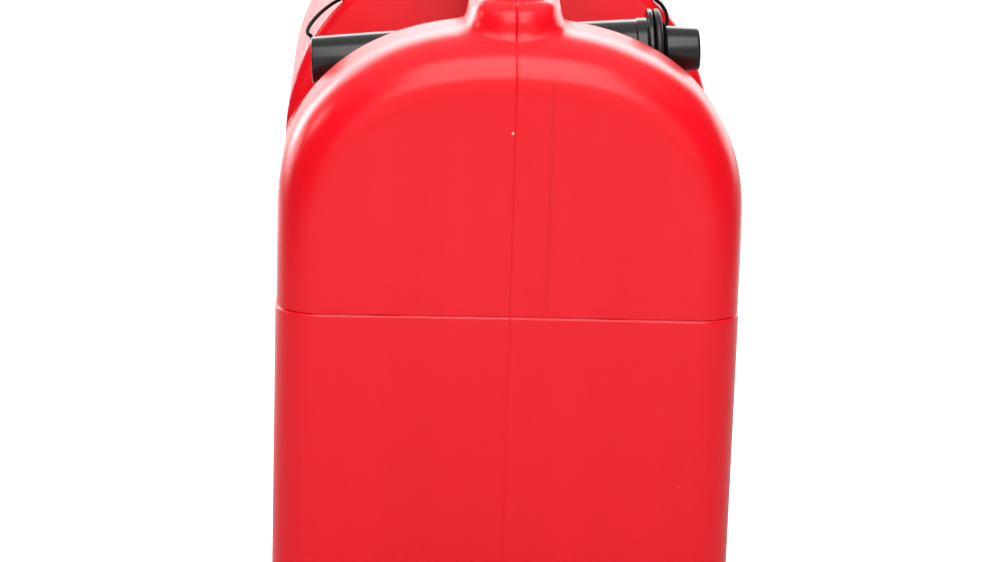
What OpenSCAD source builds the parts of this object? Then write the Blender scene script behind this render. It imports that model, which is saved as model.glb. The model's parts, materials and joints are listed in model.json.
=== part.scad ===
// Twenty-litre plastic fuel can with its pouring spout stored in the trough under the handle.
// Frame: X across the can, Y from the rear end to the filler end, Z up. The origin is on the
// ground under the middle of the base. Millimetres.

/* [Can body] */
// Width of the body, across X
body_w = 200; // [196:1:206]
// Length of the body, along Y
body_l = 330; // [326:1:340]
// Height at which the straight sides end and the rounded top begins
shoulder_z = 264; // [255:1:266]
// Height of the crest of the rear hump
rear_crest_z = 345; // [343:1:347]
// Height of the crest of the trough between the humps
trough_crest_z = 308.2; // [300:0.2:308.2]
// Height of the crest of the front hump
front_crest_z = 358; // [356:1:360]
// Thickness of the blown wall
wall = 2.8; // [2.4:0.1:3.2]
// Exponent of the rounded top's outline (2 is an ellipse, more is squarer)
arch_power = 2.3; // [2.1:0.1:2.6]

/* [Body edges] */
// Radius of the upright corners
corner_r = 19.5; // [14:0.5:22]
// Height of the rounding where an end face meets the top
top_round = 20; // [16:1:24]
// Length of the same rounding, along Y
top_run = 27; // [22:1:30]
// Radius of the long bottom edges
base_r = 16; // [10:1:20]

/* [Trough] */
// Distance from the rear face to the trough's rear rim
trough_start = 53; // [52:0.5:54]
// Length of the trough's sloping rear wall
rear_slope_l = 14; // [12:1:15]
// Distance from the rear face to the trough's front rim
trough_end = 155; // [152:1:158]
// Length of the trough's sloping front wall
front_slope_l = 24; // [18:1:30]

/* [Handle] */
// Width of the handle, across X
handle_w = 39; // [34:1:42]
// Thickness of the handle
handle_t = 27; // [24:1:30]
// Height of the top of the grip, which is the top of the whole can
grip_top_z = 396; // [394:1:400]
// Angle at which the handle leaves the rear hump
rear_rise = 44; // [40:1:48]
// Angle at which the handle drops into the front hump
front_drop = 52; // [45:1:60]

/* [Filler neck and cap] */
// Distance from the can's middle to the neck's axis, along Y
neck_y = 85; // [80:1:90]
// Outer diameter of the neck under its thread
neck_d = 38; // [38:0.5:38.5]
// Bore of the neck
mouth_d = 30; // [30:0.5:31]
// Height of the neck's rim above the front hump
neck_h = 22; // [22:0.5:23]
// Thread pitch
pitch = 6; // [6:0.5:6.5]
// Outer diameter of the screw ring, without its ribs
ring_d = 49; // [48:0.5:51]
// Number of grip ribs on the screw ring
rib_n = 24; // [12:2:30]

/* [Pouring spout] */
// Length of the spout, from tip to the end of its stub
spout_l = 171.2; // [168:0.2:174]
// Distance from the rear face to the stored spout's axis
spout_depth = 80; // [79:0.5:81]
// Height of the spout's axis at its tip
tip_z = 317.3; // [317:0.1:319]
// Tilt of the stored spout, stub end high
spout_tilt = 3; // [2.5:0.1:3.5]
// Outer diameter of the tip, which enters a 21 mm filler opening
tip_d = 20.6; // [20:0.1:20.8]
// Outer diameter of the spout at its flange
spout_root_d = 28.8; // [28:0.1:29.6]
// Diameter of the sealing flange
flange_d = 36.6; // [36:0.1:37]
// Diameter of the stub beyond the flange
stub_d = 21.2; // [20.8:0.1:21.4]
// Wall thickness of the spout
spout_wall = 1.8; // [1.5:0.1:2]

/* [Retaining cord] */
// Diameter of the elastic cord
cord_d = 1.7; // [1.4:0.1:1.8]

/* [Hidden] */
$fn = 96;
red = [0.94, 0.14, 0.2];
black = [0.13, 0.12, 0.12];
rubber = [0.08, 0.08, 0.08];
steel = [0.72, 0.73, 0.75];

// Body
rear_y = -body_l / 2;
base_round = 12;             // rounding where an end face meets the base
end_steps = 8;               // steps round an end
slope_steps = 8;             // steps down a trough wall
corner_steps = 4;            // steps round a bottom edge
arch_steps = 36;             // steps over the rounded top

// Handle path: a straight rise, a bend, the level grip, a bend and a straight drop
handle_root = [rear_y + 17.4, rear_crest_z - 18.4];
grip_z = grip_top_z - handle_t / 2;
rear_bend_r = 48;
front_bend_r = 26;
grip_end_y = -12;
drop_l = 34;                 // straight part that sinks into the front hump
handle_wall = 3.4;
handle_power = 2.6;

// Nose at the handle's rear end
nose_y = rear_y + 14;
nose_end_y = rear_y + 42;
nose_plan_r = 25;
nose_side = 0.8;             // how far it stands out past the handle on each side
nose_root_z = rear_crest_z - 5;
nose_top_z = rear_crest_z + 10;
nose_round = 9;
nose_steps = 12;             // steps round the nose
handle_sides = 28;
bend_steps = 7;

// Neck and cap
neck_r = neck_d / 2;
mouth_r = mouth_d / 2;
rim_z = front_crest_z + neck_h;
thread_h = 2;                // depth of the thread
thread_gap = 0.4;            // clearance between neck and ring
thread_root_w = 3;
thread_crest_w = 1.6;
thread_turns = 1.5;
thread_z = rim_z - 12.5;     // height of the thread's lower end
thread_step = 10;            // degrees per facet of the thread
gasket_t = 2.2;
disc_t = 2.6;
disc_r = flange_d / 2 + 0.1;
boss_r = mouth_r + 0.3;
boss_h = 2.3;
spigot_r = mouth_r - 0.8;
spigot_l = 5;
disc_z = rim_z + gasket_t;
ring_bottom_z = front_crest_z + 6;
ring_bore_r = neck_r + thread_h + thread_gap;
lip_z = disc_z + disc_t + 0.1;
ring_top_z = disc_z + disc_t + boss_h - 0.1;
rib_depth = 1;
rib_w = 2;

// Spout, measured along its own axis from the tip
tip_taper_l = 36;
tip_taper_d = 24.2;
collar_s = 147;
flange_s = 148.2;
flange_t = 2.6;
stub_s = flange_s + flange_t;
stub_end_d = 18.8;
stub_seat_r = 8.2;           // seat of the strainer
spout_y = rear_y + spout_depth;
spout_dir = [cos(spout_tilt), 0, sin(spout_tilt)];
tip_x = -86;
tip = [tip_x, spout_y, tip_z];
spout_gasket_t = 3.4;
strainer_s = spout_l - 5.2;
strainer_t = 2.6;
mesh_pitch = 2.6;
mesh_bar = 0.8;

// Cord
cord_r = cord_d / 2;
cord_sides = 8;
cord_gap = 0.5;              // clearance between cord and body
plug_l = 10;
plug_r = tip_d / 2 - spout_wall - 0.1;
plug_hole_r = cord_r + 0.3;
rim_y = rear_y + trough_end - 0.5;   // where the cord crosses the front hump's rim
left_rim_x = 74.5;
right_rim_x = 70.5;
neck_cord_r = neck_r + cord_r + cord_gap;
neck_cord_z = front_crest_z + cord_r + 1.3;
loop_s = stub_s + 6.2;       // place of the loop on the stub
loop_r = stub_d / 2 + cord_r + 0.2;
ferrule_r = 2.6;
ferrule_bore_r = 2.05;
ferrule_l = 6;
ferrule_reach = 27;          // from the spout's axis to the ferrule
ferrule_angle = 95;          // from straight up, towards the front hump
strand_gap = 0.95;           // half the distance between the two strands in the ferrule

// ---- Helpers ----

function unit(v) = v / norm(v);
function mix(a, b, t) = a + (b - a) * t;
function ease(t) = (1 - cos(180 * min(1, max(0, t)))) / 2;
function bezier(p, t) = p[0] * pow(1 - t, 3) + p[1] * 3 * t * pow(1 - t, 2)
    + p[2] * 3 * t * t * (1 - t) + p[3] * pow(t, 3);

// A closed skin over a list of loops that all have the same number of points
module skin(loops) {
    n = len(loops[0]);
    last = len(loops) - 1;
    sides = [for (i = [0 : last - 1], j = [0 : n - 1], k = [0, 1])
        let (a = i * n + j, b = i * n + (j + 1) % n)
            k == 0 ? [a, b, a + n] : [b, b + n, a + n]];
    start = [[for (j = [n - 1 : -1 : 0]) j]];
    end = [[for (j = [0 : n - 1]) last * n + j]];
    polyhedron([for (l = loops, p = l) p], concat(start, sides, end));
}

// Places a shape that was drawn along Z on the stored spout's axis
module on_spout() translate(tip) rotate([0, 90 - spout_tilt, 0]) children();

// ---- Body ----

// Height of the top's crest at a distance from the rear face
function crest(d) = d < (trough_start + trough_end) / 2
    ? mix(rear_crest_z, trough_crest_z, ease((d - trough_start) / rear_slope_l))
    : mix(front_crest_z, trough_crest_z, ease((trough_end - d) / front_slope_l));

// The crest as seen from inside a wall of thickness w
function inner_crest(d, w) = min(crest(d - w), crest(d), crest(d + w)) - w;

// Height of the outside of the top over a point of the plan
function top_z(x, y) = shoulder_z + (crest(y - rear_y) - shoulder_z)
    * pow(1 - pow(abs(x) * 2 / body_w, arch_power), 1 / arch_power);

// Share of a rounding that is left (1 to 0) after a share x of its length
function rounding(x) = 1 - sqrt(1 - pow(1 - min(1, max(0, x)), 2));

// Cross-section at a distance d from the rear face. w is how far it lies inside the outer
// surface, and k and kt (0 to 1) are what is left of the sides' and of the top's rounding.
function section(d, w, k, kt) =
    let (a = body_w / 2 - w - (corner_r - w) * k,
         z0 = w + base_round * k,
         z1 = inner_crest(d, w) - (top_round - w) * kt,
         r = base_r - w,
         y = rear_y + d)
    concat(
        [for (i = [0 : corner_steps]) let (t = -90 + 90 * i / corner_steps)
            [a - r + r * cos(t), y, z0 + r + r * sin(t)]],
        [for (i = [0 : arch_steps]) let (t = 180 * i / arch_steps)
            [a * sign(cos(t)) * pow(abs(cos(t)), 2 / arch_power), y,
             shoulder_z + (z1 - shoulder_z) * pow(abs(sin(t)), 2 / arch_power)]],
        [for (i = [0 : corner_steps]) let (t = 180 + 90 * i / corner_steps)
            [-a + r + r * cos(t), y, z0 + r + r * sin(t)]]);

// Sections from the rear face to the front face, w inside the outer surface
function body_loops(w) =
    let (depth = corner_r - w,
         run = top_run - w,
         ends = [for (i = [0 : end_steps]) run * (1 - cos(90 * i / end_steps))],
         slopes = concat(
             [for (i = [0 : slope_steps]) trough_start - w + (rear_slope_l) * i / slope_steps],
             [for (i = [0 : slope_steps]) trough_end - front_slope_l + w
                 + front_slope_l * i / slope_steps]))
    concat(
        [for (e = ends) section(w + e, w, rounding(e / depth), rounding(e / run))],
        [for (d = slopes) section(d, w, 0, 0)],
        [for (i = [end_steps : -1 : 0]) let (e = ends[i])
            section(body_l - w - e, w, rounding(e / depth), rounding(e / run))]);

// Centre line of the handle as [y, z, slope]
function handle_path() =
    let (rise = grip_z - handle_root[1] - rear_bend_r * (1 - cos(rear_rise)),
         bend_y = handle_root[0] + rise / tan(rear_rise) + rear_bend_r * sin(rear_rise))
    concat(
        [[handle_root[0], handle_root[1], rear_rise]],
        [for (i = [0 : bend_steps]) let (t = rear_rise * (1 - i / bend_steps))
            [bend_y - rear_bend_r * sin(t), grip_z - rear_bend_r * (1 - cos(t)), t]],
        [for (i = [0 : bend_steps]) let (t = front_drop * i / bend_steps)
            [grip_end_y + front_bend_r * sin(t), grip_z - front_bend_r * (1 - cos(t)), -t]],
        [[grip_end_y + front_bend_r * sin(front_drop) + drop_l * cos(front_drop),
          grip_z - front_bend_r * (1 - cos(front_drop)) - drop_l * sin(front_drop),
          -front_drop]]);

function handle_loops(w) = [for (p = handle_path())
    [for (i = [0 : handle_sides - 1])
        let (t = 360 * i / handle_sides,
             u = (handle_w / 2 - w) * sign(cos(t)) * pow(abs(cos(t)), 2 / handle_power),
             v = (handle_t / 2 - w) * sign(sin(t)) * pow(abs(sin(t)), 2 / handle_power))
        [u, p[0] - v * sin(p[2]), p[1] + v * cos(p[2])]]];

// Outline of the nose's plan, e inside its outer surface, back to its end at end_y
function nose_outline(e, end_y) =
    let (half = handle_w / 2 + nose_side - e,
         r = nose_plan_r - e,
         turn = asin(half / r))
    concat(
        [for (i = [0 : nose_steps]) let (t = turn * (1 - 2 * i / nose_steps))
            [r * sin(t), nose_y + nose_plan_r - r * cos(t)]],
        [[-half, end_y], [half, end_y]]);

// The handle's upright round end over the rear hump, w inside its outer surface
function nose_loops(w) =
    let (top = nose_top_z - w,
         r = nose_round - w,
         rise = concat(
             [[0, nose_root_z - w]],
             [for (i = [0 : end_steps]) let (t = 90 * i / end_steps)
                 [r * (1 - cos(t)), top - r + r * sin(t)]]))
    [for (p = rise) [for (q = nose_outline(w + p[0], nose_end_y + w)) [q[0], q[1], p[1]]]];

// A helical ridge on radius r that points outwards (side 1) or inwards (side -1)
module thread(r, side, start_angle, end_angle, z_offset) {
    root_r = r - side * 0.3;
    crest_r = r + side * thread_h;
    loops = [for (a = [start_angle : thread_step : end_angle])
        let (z = thread_z + z_offset + pitch * a / 360,
             p = [[root_r, -thread_root_w / 2], [crest_r, -thread_crest_w / 2],
                  [crest_r, thread_crest_w / 2], [root_r, thread_root_w / 2]])
        [for (i = [0 : 3]) let (q = side > 0 ? p[i] : p[3 - i])
            [q[0] * cos(a), q[0] * sin(a), z + q[1]]]];
    skin(loops);
}

module can_body() color(red) difference() {
    union() {
        skin(body_loops(0));
        skin(handle_loops(0));
        skin(nose_loops(0));
        translate([0, neck_y, front_crest_z - 6]) cylinder(h = neck_h + 6, r = neck_r);
        translate([0, neck_y, 0]) thread(neck_r, 1, 0, 360 * thread_turns, 0);
    }
    skin(body_loops(wall));
    skin(handle_loops(handle_wall));
    skin(nose_loops(wall));
    translate([0, neck_y, front_crest_z - 12]) cylinder(h = neck_h + 13, r = mouth_r);
}

// ---- Cap ----

module cap_ring() color(black) translate([0, neck_y, 0]) {
    difference() {
        union() {
            translate([0, 0, ring_bottom_z]) cylinder(h = ring_top_z - ring_bottom_z, d = ring_d);
            for (i = [0 : rib_n - 1]) rotate(360 * i / rib_n)
                translate([ring_d / 2 - 1, -rib_w / 2, ring_bottom_z + 1])
                    cube([1 + rib_depth, rib_w, ring_top_z - ring_bottom_z - 3]);
        }
        translate([0, 0, ring_bottom_z - 1]) cylinder(h = lip_z - ring_bottom_z + 1, r = ring_bore_r);
        translate([0, 0, lip_z - 1]) cylinder(h = 6, r = boss_r + 0.4);
    }
    thread(ring_bore_r, -1, -180, 270, pitch / 2);
}

module closing_disc() color(black) translate([0, neck_y, disc_z]) difference() {
    union() {
        cylinder(h = disc_t, r = disc_r);
        cylinder(h = disc_t + boss_h, r = boss_r);
        translate([0, 0, -spigot_l]) cylinder(h = spigot_l + 1, r = spigot_r);
    }
    translate([0, 0, disc_t + boss_h - 1.2]) cylinder(h = 3, r = boss_r - 3);
    translate([0, 0, -spigot_l - 1]) cylinder(h = spigot_l + 1, r = spigot_r - 2);
}

module cap_gasket() color(rubber) translate([0, neck_y, rim_z]) difference() {
    cylinder(h = gasket_t, r = disc_r - 0.3);
    translate([0, 0, -1]) cylinder(h = gasket_t + 2, r = spigot_r + 0.2);
}

// ---- Spout ----

module spout_tube() color(black) on_spout() rotate_extrude() polygon([
    [tip_d / 2 - spout_wall, 0],
    [tip_d / 2, 0],
    [tip_taper_d / 2, tip_taper_l],
    [spout_root_d / 2, collar_s],
    [spout_root_d / 2, flange_s],
    [flange_d / 2, flange_s],
    [flange_d / 2, stub_s],
    [stub_d / 2, stub_s],
    [stub_d / 2, stub_s + 6],
    [stub_end_d / 2, spout_l],
    [stub_seat_r, spout_l],
    [stub_seat_r, stub_s + 6],
    [spout_root_d / 2 - spout_wall, collar_s - 6],
    [tip_taper_d / 2 - spout_wall, tip_taper_l]]);

module spout_gasket() color(rubber) on_spout() translate([0, 0, stub_s]) difference() {
    cylinder(h = spout_gasket_t, d = flange_d);
    translate([0, 0, -1]) cylinder(h = spout_gasket_t + 2, d = stub_d + 0.2);
}

module spout_strainer() color(steel) on_spout() translate([0, 0, strainer_s]) {
    difference() {
        cylinder(h = strainer_t, r = stub_seat_r - 0.05);
        translate([0, 0, -1]) cylinder(h = strainer_t + 2, r = stub_seat_r - 1);
    }
    for (turn = [0, 90], i = [-2 : 2]) rotate(turn) {
        half = sqrt(pow(stub_seat_r - 0.5, 2) - pow(i * mesh_pitch, 2));
        translate([-half, i * mesh_pitch - mesh_bar / 2, 0]) cube([2 * half, mesh_bar, mesh_bar]);
    }
}

// ---- Cord ----

function along_spout(s) = tip + spout_dir * s;

// Point on the loop round the stub, at an angle from straight up towards the front hump
function loop_point(r, t) = along_spout(loop_s) + r * (sin(t) * [0, 1, 0]
    + cos(t) * [-spout_dir[2], 0, spout_dir[0]]);

ferrule_at = loop_point(ferrule_reach, ferrule_angle);
ferrule_dir = unit(loop_point(1, ferrule_angle) - along_spout(loop_s));
strand_dir = unit(cross([1, 0, 0], ferrule_dir));

// Angle of the point where a run that starts at rim_x meets the neck, seen from the neck's axis
function neck_turn(rim_x) = atan2(rim_y - neck_y, rim_x)
    + acos(neck_cord_r / norm([rim_x, rim_y - neck_y]));

// A run over the front hump, from the rim (t = 0) to the neck (t = 1). Side is -1 or 1.
function hump_run(side, rim_x, t) =
    let (turn = neck_turn(rim_x),
         x = mix(rim_x, neck_cord_r * cos(turn), t),
         y = mix(rim_y, neck_y + neck_cord_r * sin(turn), t),
         free = top_z(x, y) + cord_r + cord_gap)
    [side * x, y, mix(free, neck_cord_z, t * t)];

function cord_path() =
    let (rim_l = hump_run(-1, left_rim_x, 0),
         rim_r = hump_run(1, right_rim_x, 0),
         end_r = ferrule_at + ferrule_dir * 3.2 - strand_dir * strand_gap,
         lip = tip + [-2.2, 3, tip_d / 2 + 0.5],
         turn_l = 180 - neck_turn(left_rim_x),
         turn_r = neck_turn(right_rim_x),
         wrap = acos(loop_r / ferrule_reach),
         wrap_steps = 24)
    concat(
        [along_spout(7), along_spout(2)],
        [for (i = [0 : 6])
            bezier([along_spout(-0.5), along_spout(-3), lip + [-1, -3, -6], lip], i / 6)],
        [for (i = [1 : 12])
            bezier([lip, lip + [0.5, 4, 5], rim_l + [-2, -26, -3], rim_l], i / 12)],
        [for (i = [1 : 16]) hump_run(-1, left_rim_x, i / 16)],
        [for (i = [1 : 11]) let (t = mix(turn_l, turn_r, i / 12))
            [neck_cord_r * cos(t), neck_y + neck_cord_r * sin(t), neck_cord_z]],
        [for (i = [16 : -1 : 0]) hump_run(1, right_rim_x, i / 16)],
        [for (i = [1 : 10])
            bezier([rim_r, rim_r + [5, -16, -5], end_r + ferrule_dir * 12 + [5, 0, -4], end_r],
                   i / 10)],
        [ferrule_at - ferrule_dir * 3 - strand_dir * strand_gap],
        [for (i = [0 : wrap_steps])
            loop_point(loop_r, mix(ferrule_angle - wrap, ferrule_angle + wrap - 360, i / wrap_steps))],
        [ferrule_at - ferrule_dir * 3 + strand_dir * strand_gap,
         ferrule_at + ferrule_dir * 3.2 + strand_dir * strand_gap]);

// Tangents, then one normal per point carried along the path without twist
function tangents(p) = [for (i = [0 : len(p) - 1])
    unit(p[min(i + 1, len(p) - 1)] - p[max(i - 1, 0)])];
function carried(ts, i, n, out) = i == len(ts) ? out
    : let (m = unit(n - (n * ts[i]) * ts[i])) carried(ts, i + 1, m, concat(out, [m]));

module retaining_cord() color(black) {
    p = cord_path();
    ts = tangents(p);
    ns = carried(ts, 0, [0, 1, 0], []);
    skin([for (i = [0 : len(p) - 1]) [for (k = [0 : cord_sides - 1])
        let (a = 360 * k / cord_sides)
        p[i] + cord_r * (cos(a) * ns[i] + sin(a) * cross(ts[i], ns[i]))]]);
}

module cord_plug() color(rubber) on_spout() translate([0, 0, 0.5]) difference() {
    cylinder(h = plug_l, r = plug_r);
    translate([0, 0, -1]) cylinder(h = 9, r = plug_hole_r);
}

// The sleeve's axis lies in the plane of the loop, along the line from stub to rim
module cord_ferrule() color(black) translate(ferrule_at)
    rotate([0, -spout_tilt, 0]) rotate([-ferrule_angle, 0, 0])
    translate([0, 0, -ferrule_l / 2]) difference() {
        cylinder(h = ferrule_l, r = ferrule_r);
        translate([0, 0, -1]) cylinder(h = ferrule_l + 2, r = ferrule_bore_r);
    }

can_body();
cap_ring();
closing_disc();
cap_gasket();
spout_tube();
spout_gasket();
spout_strainer();
retaining_cord();
cord_plug();
cord_ferrule();
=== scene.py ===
"""Looks of a red plastic fuel can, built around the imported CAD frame.

Lengths in the shape code are millimetres in the CAD frame, and meshes are made in metres.
"""
import json
import math

import bmesh
import bpy
import numpy as np
from mathutils import Matrix, Vector


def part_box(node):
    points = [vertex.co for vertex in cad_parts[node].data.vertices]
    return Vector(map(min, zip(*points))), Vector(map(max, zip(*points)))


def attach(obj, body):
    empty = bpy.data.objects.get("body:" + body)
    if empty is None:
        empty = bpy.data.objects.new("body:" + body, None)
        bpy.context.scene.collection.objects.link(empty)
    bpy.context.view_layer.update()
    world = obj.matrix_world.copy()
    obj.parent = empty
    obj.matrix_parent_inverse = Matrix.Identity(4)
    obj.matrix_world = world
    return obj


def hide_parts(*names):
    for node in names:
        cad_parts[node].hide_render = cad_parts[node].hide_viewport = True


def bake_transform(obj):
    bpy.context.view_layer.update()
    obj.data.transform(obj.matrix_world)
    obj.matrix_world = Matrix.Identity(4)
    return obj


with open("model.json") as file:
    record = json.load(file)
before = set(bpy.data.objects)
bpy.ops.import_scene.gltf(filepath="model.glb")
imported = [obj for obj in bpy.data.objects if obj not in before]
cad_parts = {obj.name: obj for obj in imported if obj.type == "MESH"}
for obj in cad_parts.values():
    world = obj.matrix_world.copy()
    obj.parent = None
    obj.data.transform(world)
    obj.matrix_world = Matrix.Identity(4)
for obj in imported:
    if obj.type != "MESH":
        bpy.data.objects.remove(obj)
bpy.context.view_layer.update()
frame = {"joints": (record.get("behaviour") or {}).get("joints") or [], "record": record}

MM = 0.001
TURN = 2 * math.pi

# ------------------------------------------------------------------ sizes read from the frame

JOINTS = {joint["name"]: joint for joint in frame["joints"]}


def box_mm(node):
    """Lowest and highest corner of a CAD node, in millimetres."""
    low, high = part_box(node)
    return np.array(low) / MM, np.array(high) / MM


BODY_HIGH = box_mm("can_body")[1]
HALF_W = BODY_HIGH[0]
HALF_L = BODY_HIGH[1]
GRIP_TOP = BODY_HIGH[2]
RING_LOW, RING_HIGH = box_mm("cap_ring")
DISC_LOW, DISC_HIGH = box_mm("closing_disc")
GASKET_LOW, GASKET_HIGH = box_mm("cap_gasket")
NECK_Y = JOINTS["cap_turn"]["pos_m"][1] / MM
RIM_Z = GASKET_LOW[2]

THREAD_PITCH = TURN / frame["record"]["behaviour"]["couplings"][0]["ratio"] / MM

SPOUT_DIR = np.array(JOINTS["spout_draw"]["axis"])
SPOUT_UP = np.array([-SPOUT_DIR[2], 0.0, SPOUT_DIR[0]])
SPOUT_TILT = math.atan2(SPOUT_DIR[2], SPOUT_DIR[0])
PLUG_MIDDLE = sum(box_mm("cord_plug")) / 2
PLUG_REACH = 6.2          # from the tip to the middle of the CAD plug, 0.7 mm more than in the CAD
SPOUT_TIP = PLUG_MIDDLE - SPOUT_DIR * PLUG_REACH
FERRULE_AT = sum(box_mm("cord_ferrule")) / 2

# ------------------------------------------------------------------ sizes of the moulded body

SHOULDER = 264.0          # straight sides end here and the rounded top begins
REAR_CREST = 344.0
FRONT_CREST = 358.0
REAR_CLIMB = 0.05          # the rear hump's crest climbs a little towards the trough
TROUGH_CREST = 309.0
ARCH_POWER = 2.3
CORNER_R = 22.0
TOP_RUN = 32.0            # length and depth of the rounding between an end face and the top
TOP_DEPTH = 24.0
EDGE_POWER = 2.3          # above 2 the rounding starts more gently than a circle
BASE_R = 14.0
WALL = 2.8
SKIN_INSET = 0.45         # the upper mould half is this much smaller than the lower one
REAR_RIM_Y = -HALF_L + 55.5
FRONT_RIM_Y = -HALF_L + 150.0
TROUGH_MIDDLE_Y = (REAR_RIM_Y + FRONT_RIM_Y) / 2
WALL_LEAN = math.radians(18)
FRONT_WALL_LEAN = math.radians(12)
RIM_R = 5.0
TROUGH_R = 12.0

SEAM_Z = 222.0            # level joint of the mould blocks

HANDLE_W = 39.0
HANDLE_T = 27.0
HANDLE_POWER = 2.3
HANDLE_RISE = math.radians(44)
HANDLE_DROP = math.radians(52)
HANDLE_ROOT = (-HALF_L + 17.4, REAR_CREST - 21.4)
HANDLE_REAR_BEND = 48.0
HANDLE_FRONT_BEND = 26.0
HANDLE_LEVEL_END = -12.0
HANDLE_DROP_L = 34.0
HANDLE_FILLET = 7.0
HANDLE_FRONT_FILLET = 3.0
NOSE_LEAN = math.radians(2)       # the handle's rear end is a round upright nose
NOSE_PLAN_R = 25.0
NOSE_SIDE = 20.3
NOSE_SIDE_R = 7.5
NOSE_FOOT = (-HALF_L + 14.4, REAR_CREST)
NOSE_TOP = REAR_CREST + 9.8
NOSE_TOP_SLOPE = math.radians(6)
NOSE_EDGE_R = 9.0
NOSE_END_Y = -118.0

NECK_R = 19.0
MOUTH_R = 15.0
THREAD_DEPTH = 2.0


# ------------------------------------------------------------------ blending of fields
# A field is negative inside a solid and close to a distance in millimetres near its surface.


def meet(a, b, radius):
    """Intersection of two solids with a round edge."""
    over = np.hypot(np.maximum(a + radius, 0), np.maximum(b + radius, 0))
    return np.minimum(np.maximum(a, b), -radius) + over


def meet_oval(a, b, radius_a, radius_b):
    """Intersection with an oval edge that starts at a different depth in each solid."""
    u = np.maximum(a + radius_a, 0) / radius_a
    v = np.maximum(b + radius_b, 0) / radius_b
    n = EDGE_POWER
    r = (u ** n + v ** n) ** (1 / n) + 1e-9
    slope = np.hypot((u / r) ** (n - 1) / radius_a, (v / r) ** (n - 1) / radius_b)
    return (r - 1) / np.maximum(slope, 0.02)


def join(a, b, radius):
    """Union of two solids with a round inner corner."""
    return -meet(-a, -b, radius)


def ramp(value, start, end):
    """0 before start, 1 after end, smooth between."""
    t = np.clip((value - start) / (end - start), 0, 1)
    return t * t * (3 - 2 * t)


# ------------------------------------------------------------------ the body's field


def arch(x, z, crest):
    """A body with straight sides and a superelliptic top whose crest is at the given height."""
    n = ARCH_POWER
    rise = crest - SHOULDER
    u = np.abs(x) / HALF_W
    q = np.maximum(z - SHOULDER, 0) / rise
    r = (u ** n + q ** n) ** (1 / n) + 1e-9
    slope = np.hypot((u / r) ** (n - 1) / HALF_W, (q / r) ** (n - 1) / rise)
    return (r - 1) / np.maximum(slope, 0.4 / HALF_W)


def trough_cut(field, x, y, z):
    """Cuts the cross trough that holds the spout out of the two humps."""
    floor = arch(x, z, TROUGH_CREST)
    rear_wall = (y - REAR_RIM_Y) * math.cos(WALL_LEAN) + field * math.sin(WALL_LEAN)
    front_wall = (FRONT_RIM_Y - y) * math.cos(FRONT_WALL_LEAN) + field * math.sin(FRONT_WALL_LEAN)
    depth = np.maximum(floor - field, 0)
    inner = np.clip(depth * 0.5, 0.01, TROUGH_R)
    rim = np.clip(depth * 0.5, 0.01, RIM_R)
    room = meet(meet(-rear_wall, -front_wall, 0.01), -floor, inner)
    return meet(field, -room, rim)


def handle_distance(y, z):
    """Signed offset from the handle's centre line, in the plane of the handle."""
    grip_z = GRIP_TOP - HANDLE_T / 2
    bend_drop = HANDLE_REAR_BEND * (1 - math.cos(HANDLE_RISE))
    rise_y = (grip_z - HANDLE_ROOT[1] - bend_drop) / math.tan(HANDLE_RISE)
    level_start = HANDLE_ROOT[0] + rise_y + HANDLE_REAR_BEND * math.sin(HANDLE_RISE)
    lines = [
        (HANDLE_ROOT[0], HANDLE_ROOT[1], HANDLE_RISE, rise_y / math.cos(HANDLE_RISE)),
        (level_start, grip_z, 0.0, HANDLE_LEVEL_END - level_start),
        (HANDLE_LEVEL_END + HANDLE_FRONT_BEND * math.sin(HANDLE_DROP),
         grip_z - HANDLE_FRONT_BEND * (1 - math.cos(HANDLE_DROP)), -HANDLE_DROP, HANDLE_DROP_L),
    ]
    best = np.full(y.shape, 1e9)
    offset = np.zeros(y.shape)
    for start_y, start_z, angle, length in lines:
        c, s = math.cos(angle), math.sin(angle)
        along = (y - start_y) * c + (z - start_z) * s
        across = (z - start_z) * c - (y - start_y) * s
        past = along - np.clip(along, 0, length)
        distance = np.hypot(across, past)
        nearer = distance < best
        best = np.where(nearer, distance, best)
        offset = np.where(nearer, np.sign(across) * distance, offset)
    arcs = [(level_start, HANDLE_REAR_BEND, 0.0, HANDLE_RISE),
            (HANDLE_LEVEL_END, HANDLE_FRONT_BEND, -HANDLE_DROP, 0.0)]
    for centre_y, radius, low, high in arcs:
        dy, dz = y - centre_y, z - (grip_z - radius)
        angle = np.arctan2(-dy, dz)
        inside = (angle > low) & (angle < high)
        across = np.hypot(dy, dz) - radius
        nearer = inside & (np.abs(across) < best)
        best = np.where(nearer, np.abs(across), best)
        offset = np.where(nearer, across, offset)
    return offset


def handle_field(x, y, z):
    m = HANDLE_POWER
    u = np.abs(x) / (HANDLE_W / 2)
    v = np.abs(handle_distance(y, z)) / (HANDLE_T / 2)
    r = (u ** m + v ** m) ** (1 / m) + 1e-9
    slope = np.hypot((u / r) ** (m - 1) / (HANDLE_W / 2), (v / r) ** (m - 1) / (HANDLE_T / 2))
    return (r - 1) / np.maximum(slope, 0.01)


def nose(x, y, z):
    """The round upright end of the handle over the rear hump."""
    lean_c, lean_s = math.cos(NOSE_LEAN), math.sin(NOSE_LEAN)
    depth = (y - NOSE_FOOT[0]) * lean_c - (z - NOSE_FOOT[1]) * lean_s
    round_end = np.hypot(x, NOSE_PLAN_R - depth) - NOSE_PLAN_R
    face = np.where(depth < NOSE_PLAN_R, round_end, np.abs(x) - NOSE_PLAN_R)
    plan = meet(face, np.abs(x) - NOSE_SIDE, NOSE_SIDE_R)
    slope_c, slope_s = math.cos(NOSE_TOP_SLOPE), math.sin(NOSE_TOP_SLOPE)
    shelf = (z - NOSE_TOP) * slope_c - (y - NOSE_FOOT[0] - 5.0) * slope_s
    upper = meet(meet(plan, shelf, NOSE_EDGE_R), y - NOSE_END_Y, 6.0)
    return np.maximum(upper, NOSE_FOOT[1] - 20.0 - z)


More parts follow.
